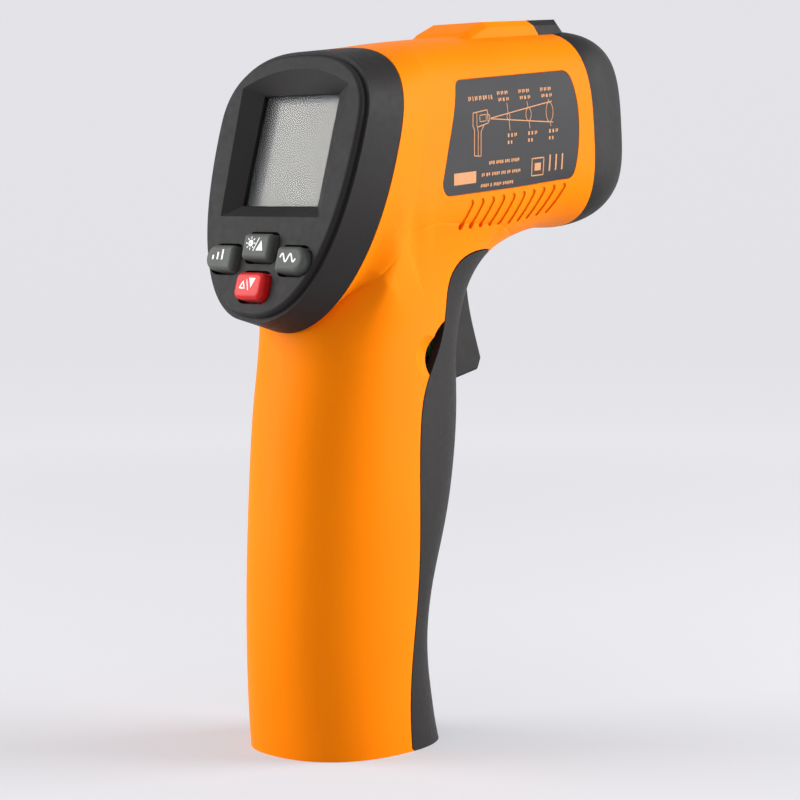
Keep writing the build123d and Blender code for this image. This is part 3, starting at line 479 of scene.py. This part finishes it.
class Blend:
    """Turns the crease into a parabola-shaped fillet by pushing the skin outwards near it."""

    def __init__(self):
        self.line = crease_line()
        self.tree = KDTree(len(self.line))
        for number, (point, _) in enumerate(self.line):
            self.tree.insert(point, number)
        self.tree.balance()
        self.rim = min(v.co.dot(INTO_FACE) for v in NODES["housing_right"].data.vertices)

    def nearest(self, point):
        """The nearest place on the crease and the push there."""
        number = self.tree.find(point)[1]
        best = None
        for a, b in ((number - 1, number), (number, number + 1)):
            if a < 0 or b >= len(self.line):
                continue
            start, end = self.line[a], self.line[b]
            run = end[0] - start[0]
            share = min(1, max(0, (point - start[0]).dot(run) / run.length_squared))
            place = start[0] + run * share
            gap = (point - place).length
            if best is None or gap < best[0]:
                best = (gap, start[1].lerp(end[1], share))
        return best

    def push(self, point):
        """How a point of the skin moves."""
        gap, push = self.nearest(point)
        if gap >= BLEND_REACH:
            return Vector()
        inside = min(1, max(0, (point.dot(INTO_FACE) - self.rim) / RIM_FADE))
        fade = inside * inside * (3 - 2 * inside)
        share = (BLEND_REACH - gap) / (2 * BLEND_REACH)
        return push * (BLEND_REACH * share * share * fade)

    def turn(self, point, normal):
        """A skin normal after the push, from how the push changes round the point."""
        step = 0.2 * MM
        rows = [(self.push(point + axis * step) - self.push(point - axis * step)) / (2 * step)
                for axis in (Vector((1, 0, 0)), Vector((0, 1, 0)), Vector((0, 0, 1)))]
        moved = Matrix(rows).transposed() + Matrix.Identity(3)
        turned = moved.inverted_safe().transposed() @ normal
        return turned.normalized()

    def zone(self, point, spare=0.0):
        """True inside the reach of the blend."""
        return self.nearest(point)[0] < BLEND_REACH + spare


def refine(work, blend):
    """Splits long edges inside the blend."""
    for _ in range(4):
        near = {v for v in work.verts if blend.zone(v.co, 3 * MM)}
        long = [e for e in work.edges if e.calc_length() > BLEND_FINE
                and (e.verts[0] in near or e.verts[1] in near)]
        if not long:
            break
        bmesh.ops.subdivide_edges(work, edges=long, cuts=1)
        bmesh.ops.triangulate(work, faces=[f for f in work.faces if len(f.verts) > 3])


def curved(point, corners, normals):
    """A point of a flat triangle lifted onto the curve that its corner normals describe, and its normal."""
    weights = poly_3d_calc(corners, point)
    normal = sum((n * w for n, w in zip(normals, weights)), Vector()).normalized()
    lifted = sum(((point - n * (point - c).dot(n)) * w for c, n, w in zip(corners, normals, weights)),
                 Vector())
    return point.lerp(lifted, 0.75), normal


def blended_copy(node, blend):
    """Replaces a CAD node by its own mesh with the crease blended away."""
    source = NODES[node].data
    source.calc_loop_triangles()
    coords = [v.co.copy() for v in source.vertices]
    triangles = [tuple(t.vertices) for t in source.loop_triangles]
    corner = [[source.corner_normals[i].vector.copy() for i in t.loops] for t in source.loop_triangles]
    tree = BVHTree.FromPolygons(coords, triangles)
    work = welded(node)
    refine(work, blend)
    work.normal_update()
    work.verts.index_update()
    places = {}
    loop_normals = []
    for face in work.faces:
        middle = face.calc_center_median()
        inside = blend.zone(middle, 2 * MM)
        number = tree.find_nearest(middle)[2]
        corners = [coords[i] for i in triangles[number]]
        for vert in face.verts:
            lifted, normal = curved(vert.co, corners, corner[number])
            if inside:
                places.setdefault(vert.index, []).append(lifted)
                normal = blend.turn(lifted, normal)
            loop_normals.append(normal)
    for vert in work.verts:
        if vert.index in places:
            options = places[vert.index]
            spot = sum(options, Vector()) / len(options)
            if blend.zone(vert.co):
                vert.co = spot + blend.push(spot)
    mesh = bpy.data.meshes.new(node + "_smooth")
    work.to_mesh(mesh)
    work.free()
    if "custom_normal" in mesh.attributes:
        mesh.attributes.remove(mesh.attributes["custom_normal"])
    mesh.shade_smooth()
    mesh.normals_split_custom_set(loop_normals)
    mesh.materials.clear()
    mesh.materials.append(MATERIALS[SLOT_OF[node]])
    piece = bpy.data.objects.new(node + "_smooth", mesh)
    bpy.context.scene.collection.objects.link(piece)
    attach(piece, NODES[node]["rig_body"])
    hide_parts(node)
    return piece


# ---------------------------------------------------------------- printed marks
def ink(name, colour, rough):
    """Screen-printed ink, slightly uneven."""
    material, nodes, links, shader = new_material(name)
    fine = noise(nodes, links, 1 / (0.15 * MM), 2.0)
    links.new(blend_colours(nodes, links, spread(nodes, links, fine, 0, 0.5), colour,
                            tuple(c * 0.7 for c in colour)), shader.inputs["Base Color"])
    links.new(spread(nodes, links, fine, rough, rough + 0.15), shader.inputs["Roughness"])
    bump(nodes, links, shader, [(fine, 0.2, 0.01 * MM)])
    return material


class Print:
    """Marks drawn in mm on one CAD surface, then laid on it as thin film."""

    LIFT = 0.03 * MM
    THICK = 0.05 * MM
    REACH = 30 * MM

    def __init__(self, name, target, origin, right, up, body, material):
        self.name, self.body, self.material = name, body, material
        self.origin, self.right, self.up = origin, right, up
        self.out = right.cross(up).normalized()
        surface = SMOOTHED.get(target, NODES[target]).data
        self.tree = BVHTree.FromPolygons([v.co.copy() for v in surface.vertices],
                                         [tuple(p.vertices) for p in surface.polygons])
        self.verts, self.faces = [], []

    def land(self, point):
        """The place on the surface below a drawn point."""
        start = self.origin + self.right * (point[0] * MM) + self.up * (point[1] * MM)
        start += self.out * self.REACH
        hit = self.tree.ray_cast(start, -self.out)[0]
        if hit is None:
            raise ValueError(f"{self.name} has a mark off its surface at {point}")
        return hit + self.out * self.LIFT

    def band(self, left, right, closed=False):
        """A strip between two rows of points."""
        base = len(self.verts)
        for a, b in zip(left, right):
            self.verts += [self.land(a), self.land(b)]
        count = len(left)
        for step in range(count if closed else count - 1):
            after = (step + 1) % count
            self.faces.append((base + 2 * step, base + 2 * step + 1, base + 2 * after + 1, base + 2 * after))

    def line(self, points, width, closed=False, step=0.8):
        """A stroke of one width along a polyline."""
        dense = []
        ends = list(zip(points, points[1:] + points[:1])) if closed else list(zip(points, points[1:]))
        for (ax, ay), (bx, by) in ends:
            parts = max(1, round(math.hypot(bx - ax, by - ay) / step))
            dense += [(ax + (bx - ax) * i / parts, ay + (by - ay) * i / parts) for i in range(parts)]
        if not closed:
            dense.append(points[-1])
        left, right = [], []
        for i, (x, y) in enumerate(dense):
            before = dense[i - 1] if closed or i else dense[i]
            after = dense[(i + 1) % len(dense)] if closed or i < len(dense) - 1 else dense[i]
            dx, dy = after[0] - before[0], after[1] - before[1]
            length = math.hypot(dx, dy) or 1.0
            dx, dy = dx / length * width / 2, dy / length * width / 2
            left.append((x - dy, y + dx))
            right.append((x + dy, y - dx))
        self.band(left, right, closed)

    def ellipse(self, x, y, half_wide, half_high, width):
        """A ring of one stroke width."""
        turns = [2 * math.pi * i / 28 for i in range(28)]
        self.line([(x + half_wide * math.cos(t), y + half_high * math.sin(t)) for t in turns], width, True)

    def box(self, x, y, wide, high):
        """A filled rectangle from its lower left corner, in strips that follow the curve."""
        rows, columns = max(1, round(high / 0.8)), max(1, round(wide / 1.5))
        for row in range(rows):
            low, top = y + high * row / rows, y + high * (row + 1) / rows
            places = [x + wide * i / columns for i in range(columns + 1)]
            self.band([(u, top) for u in places], [(u, low) for u in places])

    def triangle(self, a, b, apex):
        """A filled triangle."""
        steps = [i / 4 for i in range(5)]
        self.band([(a[0] + (apex[0] - a[0]) * t, a[1] + (apex[1] - a[1]) * t) for t in steps],
                  [(b[0] + (apex[0] - b[0]) * t, b[1] + (apex[1] - b[1]) * t + 1e-4) for t in steps])

    def row(self, x, y, lengths, high=0.6, gap=0.4):
        """Groups of small plain marks, standing for a line of small print."""
        for length in lengths:
            marks = max(1, round(length / 0.56))
            pitch = length / marks
            for number in range(marks):
                low = y - high / 2 * (0.6 if number % 3 == 1 else 1.0)
                self.box(x + number * pitch, low, pitch * 0.64, y + high / 2 - low)
            x += length + gap

    def finish(self):
        """Makes the film object and lets it ride."""
        mesh = bpy.data.meshes.new(self.name)
        mesh.from_pydata(self.verts, [], self.faces)
        work = bmesh.new()
        work.from_mesh(mesh)
        bmesh.ops.remove_doubles(work, verts=work.verts, dist=0.002 * MM)
        bmesh.ops.dissolve_degenerate(work, edges=work.edges, dist=0.002 * MM)
        bmesh.ops.recalc_face_normals(work, faces=work.faces)
        for face in work.faces:
            if face.normal.dot(self.out) < 0:
                face.normal_flip()
        work.to_mesh(mesh)
        work.free()
        mesh.materials.append(self.material)
        film = bpy.data.objects.new(self.name, mesh)
        bpy.context.scene.collection.objects.link(film)
        shell = film.modifiers.new("film", "SOLIDIFY")
        shell.thickness = self.THICK
        shell.offset = -1
        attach(film, self.body)
        return film


def pistol_outline(art):
    """The little instrument at the left of the label."""
    art.line([(4.7, -7.3), (9.2, -6.9), (9.4, -9.6), (6.2, -10.2)], 0.2)
    grip = [(4.7, -7.3), (4.5, -9.8), (5.0, -10.8), (4.9, -16.0), (7.0, -16.2), (7.1, -11.2), (8.0, -10.0)]
    art.line(grip, 0.2)
    art.line([(5.9, -7.2), (5.8, -9.9), (6.2, -11.2), (6.1, -16.0)], 0.16)
    art.line([(9.3, -7.7), (9.9, -8.1), (9.9, -9.1), (9.4, -9.4)], 0.2)
    art.line([(6.8, -7.9), (8.8, -7.8), (8.8, -9.1), (6.8, -9.2)], 0.16, closed=True)


def beam_diagram(art):
    """Two spreading lines, three measuring spots and their ticks."""
    art.line([(10.2, -8.7), (29.8, -6.4)], 0.2)
    art.line([(10.2, -8.8), (30.1, -10.8)], 0.2)
    for u, middle, half_wide, half_high in ((15.9, -8.7, 0.45, 0.62), (22.3, -8.65, 0.85, 1.35),
                                            (29.0, -8.6, 1.1, 2.05)):
        art.ellipse(u, middle, half_wide, half_high, 0.15)
        art.line([(u - 0.3, -5.9), (u - 0.1, middle + half_high)], 0.15)
        art.line([(u + 0.1, middle - half_high), (u + 0.4, -11.6)], 0.15)


def label_words(art):
    """Groups of plain marks in place of the label's small print."""
    art.row(3.6, -4.4, (1.0, 0.4, 1.0, 0.9, 1.4, 0.4, 0.6), 0.9, 0.35)
    for u in (12.9, 19.7, 26.6):
        art.row(u, -3.75, (0.9, 0.9, 1.1), 0.75, 0.3)
        art.row(u + 0.2, -5.1, (1.1, 0.8, 0.9), 0.7, 0.3)
    for u in (15.6, 22.1, 28.8):
        art.row(u, -12.6, (0.8, 0.7, 0.9), 0.75, 0.3)
        art.row(u, -14.05, (0.7, 0.6), 0.7, 0.3)
    art.row(9.6, -17.8, (1.9, 2.4, 1.6, 2.7), 0.7)
    art.row(7.2, -20.1, (1.1, 1.4, 2.6, 1.5, 1.2, 2.8), 0.7)
    art.row(7.0, -22.3, (2.7, 0.6, 2.6, 3.5), 0.7)


def side_label(name, target, side):
    """The print of one side label; the left label carries only rows of plain marks and two rules."""
    low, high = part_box(target)
    corner = Vector((0, low.y + 5 * MM, low.z + 23.5 * MM))
    up = Vector((0, 0, 1))
    if side > 0:
        art = Print(name, target, corner, ALONG, up, HOUSING, INK["orange"])
        pistol_outline(art)
        beam_diagram(art)
        label_words(art)
        art.box(-1.6, -21.5, 7.0, 2.4)
        art.line([(23.4, -21.6), (27.2, -21.6), (27.2, -18.0), (23.4, -18.0)], 0.25, closed=True)
        art.box(24.3, -20.6, 2.0, 1.6)
        art.line([(29.2, -21.0), (29.2, -17.6)], 0.45)
        art.line([(31.2, -21.0), (31.2, -17.6)], 0.45)
        art.line([(33.2, -21.0), (33.2, -17.6)], 0.45)
    else:
        corner += Vector((0, high.y - low.y - 10 * MM, 3.2 * MM))
        art = Print(name, target, corner, -ALONG, up, HOUSING, INK["orange"])
        art.line([(2.0, -3.2), (31.0, -3.2)], 0.25)
        for place, drop in enumerate((-5.6, -8.0, -10.4, -12.8, -15.2)):
            art.row(2.2, drop, (3.4, 2.0 + 0.4 * place, 4.6, 1.6, 3.2), 0.8, 0.7)
        art.line([(2.0, -17.8), (31.0, -17.8)], 0.25)
        art.row(2.2, -20.2, (5.4, 3.6, 2.4, 4.8), 0.8, 0.7)
    art.finish()


def key_print(key, body):
    """A blank print set up on one key's top."""
    low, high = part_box(key)
    return Print(key + "_print", key, (low + high) / 2, FACE_RIGHT, FACE_UP, body, INK["white"])


def key_icons():
    """White marks on the keys: three bars, a sun and rise mark, a wave, a beam and fall mark."""
    bars = key_print("key_set", "set_key")
    for number, length in enumerate((1.2, 2.0, 2.8)):
        bars.line([(-1.9 + 1.35 * number, -0.75), (-1.9 + 1.35 * number, -0.75 + length * 0.75)], 0.45)
    bars.finish()
    sun = key_print("key_up", "up_key")
    sun.ellipse(-1.45, 0.25, 0.42, 0.42, 0.5)
    for number in range(8):
        turn = math.radians(45 * number)
        sun.line([(-1.45 + r * math.cos(turn), 0.25 + r * math.sin(turn)) for r in (0.9, 1.35)], 0.22)
    sun.line([(-0.45, -1.3), (0.75, 1.4)], 0.2)
    sun.triangle((0.3, -1.2), (2.3, -1.2), (1.5, 0.9))
    sun.finish()
    wave = key_print("key_mode", "mode_key")
    wave.line([(-2.2 + 0.22 * i, 0.8 * math.sin(0.62 * i)) for i in range(21)], 0.36, step=0.3)
    wave.finish()
    beam = key_print("key_down", "down_key")
    beam.line([(-2.2, -0.9), (-0.8, -0.9), (-1.4, 0.5)], 0.34, closed=True)
    beam.line([(-0.5, 0.9), (0.35, -1.3)], 0.2)
    beam.triangle((0.2, 1.2), (2.0, 1.2), (1.0, -0.8))
    beam.finish()


# ---------------------------------------------------------------- display layers and their painted shade bands
def rounded_plate(name, low, high, back, thick, radius, material):
    """A thin plate in the face's own plane: corners in mm across and up, depth in metres."""
    outline = []
    for x, y, start in ((high[0] - radius, high[1] - radius, 0), (low[0] + radius, high[1] - radius, 90),
                        (low[0] + radius, low[1] + radius, 180), (high[0] - radius, low[1] + radius, 270)):
        for step in range(7):
            turn = math.radians(start + 15 * step)
            outline.append((x + radius * math.cos(turn), y + radius * math.sin(turn)))
    work = bmesh.new()
    ring = [work.verts.new(FACE_RIGHT * (x * MM) + FACE_UP * (y * MM) + INTO_FACE * back)
            for x, y in outline]
    floor = work.faces.new(ring)
    raised = bmesh.ops.extrude_face_region(work, geom=[floor])["geom"]
    risen = [item for item in raised if isinstance(item, bmesh.types.BMVert)]
    bmesh.ops.translate(work, vec=FACE_OUT * thick, verts=risen)
    top = next(g for g in raised if isinstance(g, bmesh.types.BMFace))
    bmesh.ops.recalc_face_normals(work, faces=work.faces)
    bmesh.ops.bevel(work, geom=list(top.edges), offset=thick * 0.4, segments=2, profile=0.5,
                    affect="EDGES")
    mesh = bpy.data.meshes.new(name)
    work.to_mesh(mesh)
    work.free()
    mesh.materials.append(material)
    plate = bpy.data.objects.new(name, mesh)
    bpy.context.scene.collection.objects.link(plate)
    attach(plate, HOUSING)


# Left edge in mm and thickness of the middle plate, which shows only as a band of painted shade.
SHADE_BAND_LEFT, SHADE_BAND_THICK = -10.9, 0.25 * MM
POLARISER_LEFT, POLARISER_THICK = -8.2, 0.18 * MM


def display_shade_bands():
    """Two stacked plates over the cell. At the left and the top their edges make stepped bands: the cell
    darkest, then the middle plate, then the palest face. The bands are painted shade that stands for the
    recess wall and its shadow seen through the window.
    """
    vertices = [v.co for v in NODES["lcd_panel"].data.vertices]
    front = min(v.dot(INTO_FACE) for v in vertices)
    rises = [v.dot(FACE_UP) / MM for v in vertices if v.dot(INTO_FACE) < front + 0.2 * MM]
    top, bottom = max(rises), min(rises)
    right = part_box("lcd_panel")[1].x / MM
    # Painted shade: the edge of this mid-grey plate makes a darker band at the left and the top of the
    # display.
    shade_band_material = lcd_glass("lcd_shade_band", (0.150, 0.147, 0.150), (0.133, 0.131, 0.135))
    rounded_plate("lcd_shade_band", (SHADE_BAND_LEFT, bottom + 0.2), (right - 0.3, top - 3.3),
                  front + 0.02 * MM, SHADE_BAND_THICK, 0.5, shade_band_material)
    film = lcd_glass("lcd_polariser", (0.200, 0.188, 0.174), (0.180, 0.169, 0.157))
    rounded_plate("lcd_polariser", (POLARISER_LEFT, bottom + 0.3), (right - 0.4, top - 4.3),
                  front - 0.22 * MM, POLARISER_THICK, 0.4, film)


# ---------------------------------------------------------------- the scene
INK = {"orange": ink("orange_ink", (0.52, 0.20, 0.045), 0.5),
       "white": ink("white_ink", (0.8, 0.8, 0.78), 0.4)}

bpy.context.scene.view_settings.view_transform = "Standard"
add_camera()
add_backdrop()
add_world(0.15)
add_softbox("left_box", -0.64, -0.02, 0.12, 0.42, 0.8, 7.6)
add_softbox("right_box", 0.64, -0.04, 0.16, 0.42, 0.8, 9.5)
add_softbox("top_box", 0.0, 0.1, 0.75, 0.7, 0.7, 1.6)
dress_nodes()
BLENDED = ("housing_right", "housing_left", "battery_door", "label_right", "label_left")
neck = Blend()
SMOOTHED = {name: blended_copy(name, neck) for name in BLENDED}
side_label("label_right_print", "label_right", 1)
side_label("label_left_print", "label_left", -1)
key_icons()
display_shade_bands()
